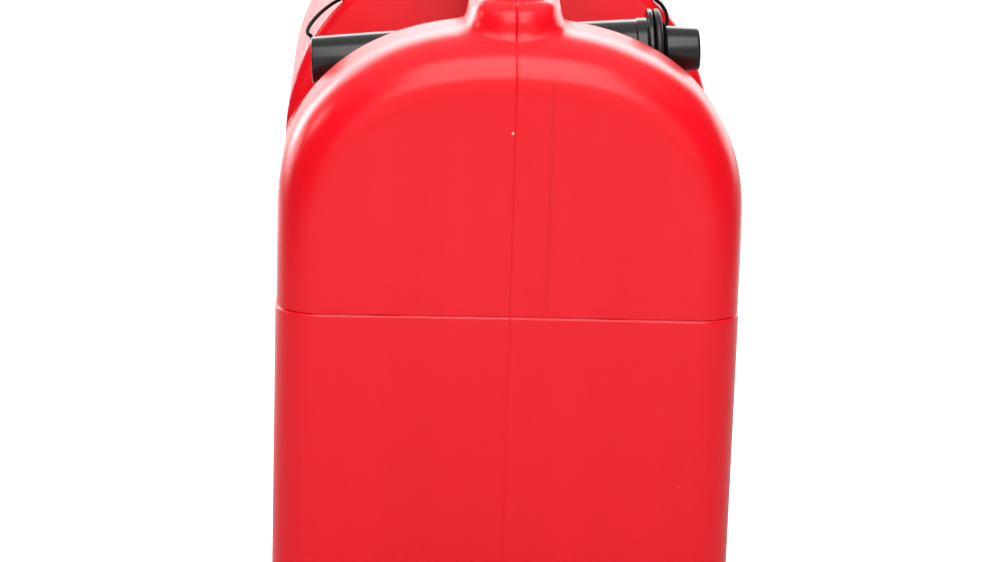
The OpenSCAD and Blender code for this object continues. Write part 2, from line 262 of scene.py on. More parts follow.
def whole_handle(x, y, z):
    return join(handle_field(x, y, z), nose(x, y, z), 3.0)


PANEL_Y = HALF_L - 46.0
PANEL_LOW = 40.0
PANEL_HIGH = SEAM_Z - 22.0
PANEL_DEPTH = 1.8
PANEL_CORNER = 22.0
PANEL_EDGE = 7.0
BASE_RECESS = 2.6
BASE_RECESS_EDGE = 5.0
FACE_SINK = 1.3           # depth of the cooling sinks in the end faces and in the long sides
SIDE_SINK = 1.2


def rounded_rectangle(a, b, half_a, half_b, corner):
    """Distance to a rectangle with round corners, in a plane."""
    da = np.abs(a) - (half_a - corner)
    db = np.abs(b) - (half_b - corner)
    outside = np.hypot(np.maximum(da, 0), np.maximum(db, 0))
    return outside + np.minimum(np.maximum(da, db), 0) - corner


def sinks(x, y, z):
    """How far the skin lies inside its nominal shape: panels, base recess and cooling sinks."""
    middle = (PANEL_LOW + PANEL_HIGH) / 2
    half = (PANEL_HIGH - PANEL_LOW) / 2
    panel = rounded_rectangle(y, z - middle, PANEL_Y, half, PANEL_CORNER)
    side = ramp(np.abs(x), HALF_W - 12, HALF_W - 6)
    depth = PANEL_DEPTH * side * (1 - ramp(panel, -PANEL_EDGE, 0))
    base = rounded_rectangle(x, y, HALF_W - 24, HALF_L - 28, 26)
    low = 1 - ramp(z, 4, 10)
    depth = depth + BASE_RECESS * low * (1 - ramp(base, -BASE_RECESS_EDGE, 0))
    end = ramp(np.abs(y), HALF_L - 12, HALF_L - 6)
    face = np.cos(np.clip((x + 4) / 84, -1, 1) * math.pi / 2) * np.sin(np.clip(z / 330, 0, 1) * math.pi)
    depth = depth + FACE_SINK * end * face
    flat = np.cos(np.clip(y / 150, -1, 1) * math.pi / 2) * np.sin(np.clip(z / 262, 0, 1) * math.pi)
    return depth + SIDE_SINK * side * flat


def body_field(x, y, z):
    rear_crest = REAR_CREST + REAR_CLIMB * np.minimum(y - REAR_RIM_Y + RIM_R, 0)
    crest = np.where(y < TROUGH_MIDDLE_Y, rear_crest, FRONT_CREST)
    field = trough_cut(arch(x, z, crest), x, y, z)
    upper = ramp(z, SHOULDER - 20, SHOULDER + 60)
    depth = CORNER_R + (TOP_DEPTH - CORNER_R) * upper
    run = CORNER_R + (TOP_RUN - CORNER_R) * upper
    field = meet_oval(field, np.abs(y) - HALF_L, depth, run)
    field = meet(field, -z, BASE_R)
    fillet = HANDLE_FRONT_FILLET + (HANDLE_FILLET - HANDLE_FRONT_FILLET) * ramp(np.abs(x), 8, 19)
    field = join(field, whole_handle(x, y, z), fillet)
    return field + sinks(x, y, z) + SKIN_INSET


# Height over the seam and skin offset there, then distance from the parting line and skin offset
SEAM_PROFILE = [(1.2, 0.0), (0.55, 0.02), (0.4, -0.4), (0.1, -0.4), (0.0, -0.1), (-0.6, 0.42), (-1.1, 0.45)]
PARTING_PROFILE = [(0.0, -0.42), (0.3, -0.1), (0.75, 0.12), (1.5, 0.0)]


def body_with_marks(x, y, z):
    """The body with its level seam step and the groove of the mould's parting line."""
    heights, steps = zip(*SEAM_PROFILE[::-1])
    lift = np.interp(z - SEAM_Z, heights, steps) * ramp(z, 2, 14)
    across, offsets = zip(*PARTING_PROFILE)
    depth = 0.45 + 0.55 * ramp(z, REAR_CREST - 12, REAR_CREST - 2)
    lift = lift + np.interp(np.abs(x), across, offsets) * depth * ramp(z, 3, 12)
    return body_field(x, y, z) - lift


# ------------------------------------------------------------------ field to mesh


def surface_net(field, axes):
    """Vertices (mm) and quads of a field's zero surface on a grid with the given planes."""
    solid = field < 0
    count = np.zeros(tuple(n - 1 for n in field.shape), np.int8)
    corners = [(i, j, k) for i in (0, 1) for j in (0, 1) for k in (0, 1)]
    for i, j, k in corners:
        count += solid[i:i + count.shape[0], j:j + count.shape[1], k:k + count.shape[2]]
    cells = np.argwhere((count > 0) & (count < 8))
    number = np.full(count.shape, -1, np.int64)
    number[tuple(cells.T)] = np.arange(len(cells))
    total = np.zeros((len(cells), 3))
    hits = np.zeros(len(cells))
    for a in corners:
        for axis in range(3):
            if a[axis]:
                continue
            b = list(a)
            b[axis] = 1
            fa = field[tuple((cells + a).T)]
            fb = field[tuple((cells + b).T)]
            cross = (fa < 0) != (fb < 0)
            t = np.where(cross, fa / np.where(cross, fa - fb, 1), 0)
            point = np.array(a, float) + np.outer(t, np.array(b, float) - a)
            total += point * cross[:, None]
            hits += cross
    places = cells + total / hits[:, None]
    verts = np.stack([np.interp(places[:, k], np.arange(len(axes[k])), axes[k]) for k in range(3)], 1)
    quads = []
    for axis in range(3):
        head = [slice(None)] * 3
        tail = [slice(None)] * 3
        head[axis], tail[axis] = slice(None, -1), slice(1, None)
        change = np.argwhere(solid[tuple(head)] != solid[tuple(tail)])
        leaving = solid[tuple(change.T)]
        b, c = (axis + 1) % 3, (axis + 2) % 3
        ring = []
        for db, dc in ((1, 1), (0, 1), (0, 0), (1, 0)):
            cell = change.copy()
            cell[:, b] -= db
            cell[:, c] -= dc
            ring.append(number[tuple(cell.T)])
        ring = np.stack(ring, 1)
        ring[~leaving] = ring[~leaving][:, ::-1]
        quads.append(ring)
    return verts, np.concatenate(quads)


def settle(field, points, rounds=3):
    """Moves points along the field's slope until they lie on its zero surface."""
    h = 0.05
    for _ in range(rounds):
        x, y, z = points.T
        value = field(x, y, z)
        slope = np.stack([field(x + h, y, z) - field(x - h, y, z),
                          field(x, y + h, z) - field(x, y - h, z),
                          field(x, y, z + h) - field(x, y, z - h)], 1) / (2 * h)
        size = np.maximum((slope ** 2).sum(1), 0.05)
        move = slope * np.clip(value / size, -2, 2)[:, None]
        points = points - move
    return points


def planes(low, high, step, fine=()):
    """Grid planes between two limits, closer together in each (from, to, step) stretch."""
    places = np.arange(low, high + step, step)
    for start, end, small in fine:
        places = places[(places < start - small) | (places > end + small)]
        places = np.concatenate([places, np.arange(start, end + small / 2, small)])
    return np.sort(places)


def mesh_field(field, axes):
    grid = np.empty(tuple(len(a) for a in axes), np.float32)
    y, z = np.meshgrid(axes[1], axes[2], indexing="ij")
    for i, x in enumerate(axes[0]):
        grid[i] = field(np.full(y.shape, x), y, z)
    verts, quads = surface_net(grid, axes)
    return settle(field, verts), quads


# ------------------------------------------------------------------ mesh helpers


def new_mesh(name, verts_mm, faces):
    mesh = bpy.data.meshes.new(name)
    mesh.from_pydata((np.asarray(verts_mm) * MM).tolist(), [], [tuple(f) for f in faces])
    mesh.update()
    return mesh


def new_object(name, mesh):
    obj = bpy.data.objects.new(name, mesh)
    bpy.context.scene.collection.objects.link(obj)
    return obj


def smooth(obj, angle_degrees):
    """Smooth shading that keeps edges sharper than the angle."""
    bm = bmesh.new()
    bm.from_mesh(obj.data)
    bmesh.ops.recalc_face_normals(bm, faces=bm.faces)
    limit = math.radians(angle_degrees)
    for face in bm.faces:
        face.smooth = True
    for edge in bm.edges:
        edge.smooth = len(edge.link_faces) != 2 or edge.calc_face_angle(0) < limit
    bm.to_mesh(obj.data)
    bm.free()


def cut_with(obj, other, operation):
    """Applies one boolean step and removes the other object."""
    step = obj.modifiers.new("step", "BOOLEAN")
    step.operation = operation
    step.object = other
    step.solver = "MANIFOLD"
    evaluated = obj.evaluated_get(bpy.context.evaluated_depsgraph_get())
    result = bpy.data.meshes.new_from_object(evaluated)
    obj.modifiers.clear()
    obj.data = result
    bpy.data.objects.remove(other)


def lathe(name, profile, segments=128, radius_at=None):
    """A closed solid of revolution about Z from a closed profile of (radius, height) points."""
    verts = []
    for i in range(segments):
        a = TURN * i / segments
        for j, (r, h) in enumerate(profile):
            r = radius_at(r, h, a) if radius_at else r
            verts.append((r * math.cos(a), r * math.sin(a), h))
    n = len(profile)
    faces = []
    for i in range(segments):
        for j in range(n):
            a, b = i * n, ((i + 1) % segments) * n
            k = (j + 1) % n
            faces.append((a + j, b + j, b + k, a + k))
    obj = new_object(name, new_mesh(name, verts, faces))
    bm = bmesh.new()
    bm.from_mesh(obj.data)
    bmesh.ops.remove_doubles(bm, verts=bm.verts, dist=1e-7)
    bmesh.ops.dissolve_degenerate(bm, edges=bm.edges, dist=1e-7)
    bm.to_mesh(obj.data)
    bm.free()
    return obj


def rounded(points, radii, steps=5):
    """A closed outline with each corner replaced by an arc-like curve of its own radius."""
    out = []
    n = len(points)
    for i, (p, r) in enumerate(zip(points, radii)):
        p = np.array(p, float)
        if r <= 0:
            out.append(tuple(p))
            continue
        before = np.array(points[i - 1], float) - p
        after = np.array(points[(i + 1) % n], float) - p
        reach_before = min(r, 0.48 * np.linalg.norm(before))
        reach_after = min(r, 0.48 * np.linalg.norm(after))
        a = p + before / np.linalg.norm(before) * reach_before
        b = p + after / np.linalg.norm(after) * reach_after
        for k in range(steps + 1):
            t = k / steps
            w = 0.8
            top = (1 - t) ** 2 * a + 2 * w * t * (1 - t) * p + t * t * b
            out.append(tuple(top / ((1 - t) ** 2 + 2 * w * t * (1 - t) + t * t)))
    return out


def sweep(name, path, radius, sides=12):
    """A round rod along a path, with flat ends."""
    path = np.array(path, float)
    tangents = np.gradient(path, axis=0)
    tangents /= np.linalg.norm(tangents, axis=1)[:, None]
    normal = np.array([0.0, 1.0, 0.0])
    verts, faces = [], []
    for point, tangent in zip(path, tangents):
        normal = normal - tangent * (normal @ tangent)
        normal /= np.linalg.norm(normal)
        other = np.cross(tangent, normal)
        for k in range(sides):
            a = TURN * k / sides
            verts.append(point + radius * (math.cos(a) * normal + math.sin(a) * other))
    for i in range(len(path) - 1):
        for k in range(sides):
            a, b = i * sides, (i + 1) * sides
            j = (k + 1) % sides
            faces.append((a + k, a + j, b + j, b + k))
    faces.append(tuple(range(sides))[::-1])
    faces.append(tuple(len(verts) - sides + k for k in range(sides)))
    return new_object(name, new_mesh(name, verts, faces))


# ------------------------------------------------------------------ the can's shell


def thread_ridge(name, root, side, start_deg, end_deg, height, step=6):
    """A helical ridge on a radius, outwards (side 1) or inwards (side -1)."""
    profile = [(root - side * 0.4, -1.5), (root + side * 1.7, -0.95), (root + side * THREAD_DEPTH, -0.6),
               (root + side * THREAD_DEPTH, 0.6), (root + side * 1.7, 0.95), (root - side * 0.4, 1.5)]
    verts, faces = [], []
    angles = np.arange(start_deg, end_deg + step, step)
    n = len(profile)
    for a in angles:
        fade = min(1.0, (a - start_deg + 6) / 40, (end_deg - a + 6) / 40)
        for r, h in profile:
            r = root - side * 0.4 + (r - root + side * 0.4) * max(fade, 0.12)
            t = math.radians(a)
            verts.append((r * math.cos(t), NECK_Y + r * math.sin(t),
                          height + THREAD_PITCH * a / 360 + h * (0.5 + 0.5 * fade)))
    for i in range(len(angles) - 1):
        for j in range(n):
            k = (j + 1) % n
            faces.append((i * n + j, i * n + k, (i + 1) * n + k, (i + 1) * n + j))
    faces.append(tuple(range(n))[::-1])
    faces.append(tuple(len(verts) - n + j for j in range(n)))
    obj = new_object(name, new_mesh(name, verts, faces))
    bm = bmesh.new()
    bm.from_mesh(obj.data)
    bmesh.ops.recalc_face_normals(bm, faces=bm.faces)
    bm.to_mesh(obj.data)
    bm.free()
    return obj


def place_on_neck(obj):
    obj.data.transform(Matrix.Translation((0, NECK_Y * MM, 0)))
    return obj


def build_shell():
    step = 2.0
    margin = 3.3 * step
    limits = [HALF_W + margin, HALF_L + margin, GRIP_TOP + margin]
    fine = [[(-1.65, 1.65, 0.3)], [], [(SEAM_Z - 1.2, SEAM_Z + 1.4, 0.2)]]
    axes = [planes(-limits[0], limits[0], step, fine[0]),
            planes(-limits[1], limits[1], step, fine[1]),
            planes(-margin, limits[2], step, fine[2])]
    shell = new_object("can_shell", new_mesh("can_shell", *mesh_field(body_with_marks, axes)))

    def cavity(x, y, z):
        return body_field(x, y, z) + WALL

    axes = [planes(-limits[0], limits[0], 5.0), planes(-limits[1], limits[1], 5.0),
            planes(-margin, limits[2], 5.0)]
    inside = new_object("cavity", new_mesh("cavity", *mesh_field(cavity, axes)))
    neck_profile = [(0.0, FRONT_CREST - 4), (NECK_R + 3.2, FRONT_CREST - 4),
                    (NECK_R + 1.0, FRONT_CREST + 0.5), (NECK_R, FRONT_CREST + 1.4),
                    (NECK_R, FRONT_CREST + 3.9), (NECK_R + 1.5, FRONT_CREST + 4.3),
                    (NECK_R + 1.5, FRONT_CREST + 5.2), (NECK_R, FRONT_CREST + 5.6),
                    (NECK_R, RIM_Z - 0.6), (NECK_R - 0.6, RIM_Z), (0.0, RIM_Z)]
    neck = place_on_neck(lathe("neck", neck_profile, 96))
    smooth(neck, 30)
    cut_with(shell, neck, "UNION")
    cut_with(shell, thread_ridge("ridge", NECK_R, 1, 0, 540, RIM_Z - 12.5), "UNION")
    cut_with(shell, inside, "DIFFERENCE")
    bore = place_on_neck(lathe("bore", [(0, FRONT_CREST - 14), (MOUTH_R, FRONT_CREST - 14),
                                        (MOUTH_R, RIM_Z - 0.5), (MOUTH_R + 0.7, RIM_Z + 0.2),
                                        (MOUTH_R + 0.7, RIM_Z + 4), (0, RIM_Z + 4)], 96))
    smooth(bore, 30)
    cut_with(shell, bore, "DIFFERENCE")
    smooth(shell, 38)
    return shell


# ------------------------------------------------------------------ cap


RIBS = 24
RIB_DEPTH = 0.95
RIB_HALF_TURN = TURN * 1.25 / (TURN * 24.5)   # half a rib's width, as an angle


def build_ring():
    low, high = RING_LOW[2], RING_HIGH[2]
    outer = RING_HIGH[0] - 1.0
    bore = NECK_R + 2.4
    lip_r = MOUTH_R + 0.7
    lip_z = DISC_HIGH[2] - 2.2
    points = [(outer, low), (outer, high), (lip_r, high), (lip_r, lip_z), (bore, lip_z), (bore, low)]
    profile = rounded(points, [0.9, 2.2, 0.6, 0.2, 0.6, 0.7])
    tall = []
    for (r0, h0), (r1, h1) in zip(profile, profile[1:] + profile[:1]):
        tall.append((r0, h0))
        if abs(h1 - h0) > 6:
            tall += [(r0 + (r1 - r0) * t, h0 + (h1 - h0) * t) for t in (0.04, 0.09, 0.5, 0.88, 0.95)]

    def ribbed(r, h, a):
        if r < outer - 0.02:
            return r
        turn = (a / TURN * RIBS) % 1.0
        away = min(turn, 1 - turn) / RIBS * TURN
        rib = 1 - float(ramp(np.array(away), RIB_HALF_TURN * 0.55, RIB_HALF_TURN * 1.15))
        foot = float(ramp(np.array(h), low + 0.9, low + 1.8))
        head = 1 - float(ramp(np.array(h), high - 3.2, high - 2.2))
        return r + RIB_DEPTH * rib * (foot * head)

    ring = place_on_neck(lathe("screw_ring", tall, RIBS * 14, ribbed))
    smooth(ring, 35)
    ridge = thread_ridge("ridge", bore, -1, -180, 270, RIM_Z - 12.5 + THREAD_PITCH / 2)
    cut_with(ring, ridge, "UNION")
    smooth(ring, 35)
    return ring


def build_disc():
    low, high = DISC_LOW[2], DISC_HIGH[2]
    flat = GASKET_HIGH[2]
    wide = DISC_HIGH[0]
    boss = MOUTH_R + 0.3
    spigot = MOUTH_R - 0.8
    shoulder = flat + 2.6
    points = [(0, flat - 0.0), (spigot - 2, flat), (spigot - 2, low), (spigot, low), (spigot, flat),
              (wide, flat), (wide, shoulder), (boss, shoulder), (boss, high), (boss - 3, high),
              (boss - 3.2, high - 1.2), (6.6, high - 1.2), (6.2, high - 0.85), (5.6, high - 0.85),
              (5.2, high - 1.2), (1.6, high - 1.2), (1.2, high - 1.6), (0, high - 1.6)]
    radii = [0, 0.5, 0.5, 0.6, 0.3, 0.5, 0.5, 0.3, 0.7, 0.5, 0.4, 0.2, 0.2, 0.2, 0.2, 0.2, 0.2, 0]
    disc = place_on_neck(lathe("seal_disc", rounded(points, radii), 128))
    smooth(disc, 35)
    return disc


def build_cap_gasket():
    inner, outer = MOUTH_R - 0.6, GASKET_HIGH[0]
    low, high = GASKET_LOW[2], GASKET_HIGH[2]
    points = [(inner, low), (outer, low), (outer, high), (inner, high)]
    gasket = place_on_neck(lathe("cap_seal_ring", rounded(points, [0.6, 0.8, 0.8, 0.6]), 128))
    smooth(gasket, 50)
    return gasket


# ------------------------------------------------------------------ spout

FLANGE_S = 148.2
STUB_S = 150.8
SPOUT_L = 171.2
FLANGE_R = 18.3
STUB_R = 10.6
STUB_END_R = 9.4
SEAT_R = 8.2
TIP_R = 10.3
TAPER_S = 36.0
TAPER_R = 12.1
ROOT_R = 14.4


NOTCH_HALF_W = 1.1        # slot in the tip's lip through which the cord reaches its plug
NOTCH_L = 2.4
NOTCH_TURN = math.radians(25)


def box(name, low, high):
    (x0, y0, z0), (x1, y1, z1) = low, high
    verts = [(x, y, z) for x in (x0, x1) for y in (y0, y1) for z in (z0, z1)]
    faces = [(0, 1, 3, 2), (4, 6, 7, 5), (0, 4, 5, 1), (2, 3, 7, 6), (0, 2, 6, 4), (1, 5, 7, 3)]
    return new_object(name, new_mesh(name, verts, faces))


def place_on_spout(obj, s=0.0):
    """Moves a shape drawn along Z onto the stored spout's axis, s from the tip."""
    turn = Matrix.Rotation(math.pi / 2 - SPOUT_TILT, 4, "Y")
    at = Vector((SPOUT_TIP + SPOUT_DIR * s) * MM)
    obj.data.transform(Matrix.Translation(at) @ turn)
    return obj


def build_spout():
    points = [(TIP_R - 1.8, 0), (TIP_R, 0), (TAPER_R, TAPER_S), (ROOT_R - 0.45, FLANGE_S - 5.2),
              (ROOT_R, FLANGE_S - 4.6), (ROOT_R, FLANGE_S), (FLANGE_R, FLANGE_S),
              (FLANGE_R, STUB_S - 0.35), (STUB_R + 1.6, STUB_S - 0.1), (STUB_R, STUB_S + 0.2),
              (STUB_R, STUB_S + 6), (STUB_END_R, SPOUT_L),
              (SEAT_R, SPOUT_L), (SEAT_R, STUB_S + 6),
              (ROOT_R - 1.8, FLANGE_S - 7.2), (TAPER_R - 1.8, TAPER_S)]
    radii = [0.5, 0.7, 12, 0.3, 0.3, 0.9, 0.7, 0.7, 0.3, 0.2, 3, 1.5, 0.5, 0.5, 4, 8]
    spout = lathe("pouring_spout", rounded(points, radii), 128)
    slot = box("slot", (TIP_R - 4, -NOTCH_HALF_W, -1), (TIP_R + 2, NOTCH_HALF_W, NOTCH_L))
    slot.data.transform(Matrix.Rotation(math.pi - NOTCH_TURN, 4, "Z"))
    cut_with(spout, slot, "DIFFERENCE")
    smooth(spout, 40)
    return place_on_spout(spout)


def build_spout_gasket():
    inner, outer = STUB_R + 0.1, FLANGE_R
    low, high = STUB_S + 0.25, STUB_S + 3.4
    points = [(inner, low), (outer, low), (outer, high), (inner, high)]
    gasket = place_on_spout(lathe("spout_seal_ring", rounded(points, [0.5, 1.3, 1.5, 0.5], 7), 128))
    smooth(gasket, 60)
    return gasket


WIRE_R = 0.2
WIRE_PITCH = 1.6


def build_strainer():
    rim = SEAT_R - 0.05
    points = [(rim - 1, 0), (rim, 0), (rim, 2.6), (rim - 1, 2.6)]
    ring = lathe("strainer", rounded(points, [0.2, 0.3, 0.3, 0.2], 3), 96)
    parts = [ring]
    count = int((rim - 1) / WIRE_PITCH)
    for turn in (0, 1):
        for i in range(-count, count + 1):
            off = i * WIRE_PITCH
            half = math.sqrt((rim - 0.4) ** 2 - off ** 2)
            along = np.linspace(-half, half, 48)
            wave = WIRE_R * np.cos(math.pi * along / WIRE_PITCH + math.pi * (i + turn))
            flat = np.stack([along, np.full(48, off)], 1)
            if turn:
                flat = flat[:, ::-1]
            path = np.column_stack([flat, 1.0 + wave])
            parts.append(sweep("wire", path, WIRE_R, 6))
    merged = bmesh.new()
    for part in parts:
        merged.from_mesh(part.data)
    for part in parts[1:]:
        bpy.data.objects.remove(part)
    merged.to_mesh(ring.data)
    merged.free()
    smooth(ring, 45)
    ring.name = "mesh_strainer"
    return place_on_spout(ring, SPOUT_L - 5.2)


# ------------------------------------------------------------------ cord

CORD_R = 0.85
CORD_GAP = 0.25
RIM_Y = FRONT_RIM_Y - 0.5 + 5.0
LEFT_RIM_X = 74.5
RIGHT_RIM_X = 70.5
NECK_LOOP_R = NECK_R + CORD_R + 0.5
NECK_LOOP_Z = FRONT_CREST + CORD_R + 1.3
LOOP_S = STUB_S + 5.0
LOOP_R = STUB_R + CORD_R + 0.1
FERRULE_ANGLE = math.radians(95)
FERRULE_REACH = 27.0
STRAND_GAP = 0.95


def along_spout(s):
    return SPOUT_TIP + SPOUT_DIR * s


def top_height(x, y):
    """Height of the moulded top over a point of the plan, found by halving."""
    low, high = 200.0, 380.0
    for _ in range(24):
        middle = (low + high) / 2
        if body_field(np.array([x]), np.array([y]), np.array([middle]))[0] < 0:
            low = middle
        else:
            high = middle
    return low


def bezier(p, t):
    a, b, c, d = (np.array(q, float) for q in p)
    return a * (1 - t) ** 3 + 3 * b * t * (1 - t) ** 2 + 3 * c * t * t * (1 - t) + d * t ** 3


def neck_turn(rim_x):
    across = math.hypot(rim_x, RIM_Y - NECK_Y)
    return math.atan2(RIM_Y - NECK_Y, rim_x) + math.acos(NECK_LOOP_R / across)


def hump_run(side, rim_x, t):
    """A point of the run over the front hump, from the rim (0) to the neck (1)."""
    turn = neck_turn(rim_x)
    x = rim_x + (NECK_LOOP_R * math.cos(turn) - rim_x) * t
    y = RIM_Y + (NECK_Y + NECK_LOOP_R * math.sin(turn) - RIM_Y) * t
    free = top_height(side * x, y) + CORD_R + CORD_GAP
    return np.array([side * x, y, free + (NECK_LOOP_Z - free) * t * t])


def loop_point(r, turn):
    return along_spout(LOOP_S) + r * (math.sin(turn) * np.array([0, 1, 0]) + math.cos(turn) * SPOUT_UP)


def cord_points():
    rim_l = hump_run(-1, LEFT_RIM_X, 0)
    rim_r = hump_run(1, RIGHT_RIM_X, 0)
    out = math.sin(FERRULE_ANGLE) * np.array([0, 1, 0]) + math.cos(FERRULE_ANGLE) * SPOUT_UP
    aside = np.cross([1.0, 0, 0], out)
    aside /= np.linalg.norm(aside)
    end_r = FERRULE_AT + out * 3.2 - aside * STRAND_GAP
    notch = math.sin(NOTCH_TURN) * np.array([0, 1, 0]) + math.cos(NOTCH_TURN) * SPOUT_UP
    lip = along_spout(0.2) + notch * (TIP_R + CORD_R + 0.1)
    wrap = math.acos(LOOP_R / FERRULE_REACH)
    turn_l, turn_r = math.pi - neck_turn(LEFT_RIM_X), neck_turn(RIGHT_RIM_X)
    path = [along_spout(9), along_spout(5)]
    inner = [along_spout(4), along_spout(1.6), along_spout(1.2) + notch * (TIP_R - 3), lip]
    path += [bezier(inner, i / 8) for i in range(9)]
    slack_l = [lip, lip + [-6.2, 5.4, -0.4], rim_l + [-9.1, -21.8, -1.1], rim_l]
    path += [bezier(slack_l, i / 12) for i in range(1, 13)]
    path += [hump_run(-1, LEFT_RIM_X, i / 16) for i in range(1, 17)]
    for i in range(1, 12):
        turn = turn_l + (turn_r - turn_l) * i / 12
        x, y = NECK_LOOP_R * math.cos(turn), NECK_Y + NECK_LOOP_R * math.sin(turn)
        path.append(np.array([x, y, NECK_LOOP_Z]))
    path += [hump_run(1, RIGHT_RIM_X, i / 16) for i in range(16, -1, -1)]
    slack_r = [rim_r, rim_r + [13.7, -17.6, -6.1], end_r + [-4.7, 7.4, -2.6], end_r]
    path += [bezier(slack_r, i / 10) for i in range(1, 11)]
    path.append(FERRULE_AT - out * 3 - aside * STRAND_GAP)
    start, end = FERRULE_ANGLE - wrap, FERRULE_ANGLE + wrap - TURN
    path += [loop_point(LOOP_R, start + (end - start) * i / 24) for i in range(25)]
    path += [FERRULE_AT - out * 3 + aside * STRAND_GAP, FERRULE_AT + out * 3.4 + aside * STRAND_GAP]
    return np.array(path)


def resample(path, spacing):
    """Even points along a path, rounded by a light running mean."""
    length = np.concatenate([[0], np.cumsum(np.linalg.norm(np.diff(path, axis=0), axis=1))])
    places = np.linspace(0, length[-1], int(length[-1] / spacing) + 1)
    even = np.stack([np.interp(places, length, path[:, k]) for k in range(3)], 1)
    for _ in range(4):
        even[1:-1] = 0.25 * even[:-2] + 0.5 * even[1:-1] + 0.25 * even[2:]
    return even


def build_cord():
    cord = sweep("elastic_cord", resample(cord_points(), 0.8), CORD_R, 12)
    smooth(cord, 60)
    return cord


PLUG_OUTER = 3.4          # the plug's ends, measured from the tip
PLUG_INNER = 10.4


def build_plug():
    radius = TIP_R - 1.9
    hole = CORD_R + 0.2
    length = PLUG_INNER - PLUG_OUTER
    points = [(0, length - 1), (hole, length - 1), (hole, 0), (radius, 0),
              (radius, 2.6), (radius - 0.5, 3.0), (radius - 0.5, 4.2), (radius, 4.6),
              (radius, length), (0, length)]
    radii = [0, 0, 0.4, 1.0, 0.3, 0.3, 0.3, 0.3, 1.4, 0]
    plug = place_on_spout(lathe("tip_plug", rounded(points, radii), 64), PLUG_OUTER)
    smooth(plug, 50)
    return plug


def build_ferrule():
    length, outer, bore = 6.0, 2.6, 2.05
    points = [(bore, -length / 2), (outer, -length / 2)]
    points += [(outer, h) for h in np.linspace(-2.4, 2.4, 13)]
    points += [(outer, length / 2), (bore, length / 2)]
    radii = [0.15, 0.25] + [0] * 13 + [0.25, 0.15]

    def crimped(r, h, a):
        if r < 2.5 or abs(h) > 2.6:
            return r
        dent = math.exp(-((abs(h) - 1.2) / 0.5) ** 2) * abs(math.cos(a)) ** 3
        return r - 0.32 * dent

    ferrule = lathe("cord_crimp", rounded(points, radii, 3), 48, crimped)
    turn = Matrix.Rotation(-SPOUT_TILT, 4, "Y") @ Matrix.Rotation(-FERRULE_ANGLE, 4, "X")
    ferrule.data.transform(Matrix.Translation(Vector(FERRULE_AT * MM)) @ turn)
    smooth(ferrule, 45)
    return ferrule


# ------------------------------------------------------------------ materials


class Nodes:
    """Short calls for building a material's node tree."""

    def __init__(self, name):
        self.material = bpy.data.materials.new(name)
        self.material.use_nodes = True
        self.tree = self.material.node_tree
        self.tree.nodes.clear()
        self.output = self.tree.nodes.new("ShaderNodeOutputMaterial")
        self.shader = self.tree.nodes.new("ShaderNodeBsdfPrincipled")
        self.tree.links.new(self.shader.outputs["BSDF"], self.output.inputs["Surface"])
        coords = self.tree.nodes.new("ShaderNodeTexCoord")
        self.place = coords.outputs["Object"]

    def set(self, **values):
        for key, value in values.items():
            self.shader.inputs[key.replace("_", " ")].default_value = value

    def feed(self, socket, source):
        self.tree.links.new(source, self.shader.inputs[socket])

    def stretched(self, scale):
        node = self.tree.nodes.new("ShaderNodeMapping")
        node.inputs["Scale"].default_value = scale
        self.tree.links.new(self.place, node.inputs["Vector"])
        return node.outputs["Vector"]

    def noise(self, scale, detail=3.0, rough=0.5, vector=None):
        node = self.tree.nodes.new("ShaderNodeTexNoise")
        node.inputs["Scale"].default_value = scale
        node.inputs["Detail"].default_value = detail
        node.inputs["Roughness"].default_value = rough
        self.tree.links.new(vector or self.place, node.inputs["Vector"])
        return node.outputs["Fac"]

    def specks(self, scale, size, vector=None):
        """1 in small scattered dots, 0 elsewhere."""
        node = self.tree.nodes.new("ShaderNodeTexVoronoi")
        node.inputs["Scale"].default_value = scale
        self.tree.links.new(vector or self.place, node.inputs["Vector"])
        return self.range(node.outputs["Distance"], size, size * 0.5, 0.0, 1.0)

    def range(self, source, low, high, to_low=0.0, to_high=1.0):
        node = self.tree.nodes.new("ShaderNodeMapRange")
        node.inputs["From Min"].default_value = low
        node.inputs["From Max"].default_value = high
        node.inputs["To Min"].default_value = to_low
        node.inputs["To Max"].default_value = to_high
        self.tree.links.new(source, node.inputs["Value"])
        return node.outputs["Result"]

    def math(self, operation, a, b=0.0, c=0.0):
        node = self.tree.nodes.new("ShaderNodeMath")
        node.operation = operation
        for socket, value in zip(node.inputs, (a, b, c)):
            if isinstance(value, (int, float)):
                socket.default_value = value
            else:
                self.tree.links.new(value, socket)
        return node.outputs["Value"]

    def mix(self, factor, a, b):
        node = self.tree.nodes.new("ShaderNodeMix")
        node.data_type = "RGBA"
        inputs = [s for s in node.inputs if s.type == "RGBA"]
        self.tree.links.new(factor, node.inputs["Factor"])
        for socket, value in zip(inputs, (a, b)):
            if isinstance(value, tuple):
                socket.default_value = (*value, 1.0)
            else:
                self.tree.links.new(value, socket)
        return [s for s in node.outputs if s.type == "RGBA"][0]

    def bump(self, height, strength, distance, under=None):
        node = self.tree.nodes.new("ShaderNodeBump")
        node.inputs["Strength"].default_value = strength
        node.inputs["Distance"].default_value = distance
        self.tree.links.new(height, node.inputs["Height"])
        if under is not None:
            self.tree.links.new(under, node.inputs["Normal"])
        return node.outputs["Normal"]

    def coordinate(self, axis):
        node = self.tree.nodes.new("ShaderNodeSeparateXYZ")
        self.tree.links.new(self.place, node.inputs["Vector"])
        return node.outputs["XYZ".index(axis)]


INSERT_X = 15.5                   # a second, fainter joint line beside the parting line
INSERT_FADE_Z = (0.322, 0.336)    # heights over which that line ends, in metres
INSERT_FADE_Y = (-0.14, -0.13)    # it is on the rear face only
PARTING_EDGE = (0.0001, 0.0004)   # distances from a line's middle over which its darkening ends
INSERT_EDGE = (0.0002, 0.0006)
SEAM_EDGE = (0.0001, 0.0003)


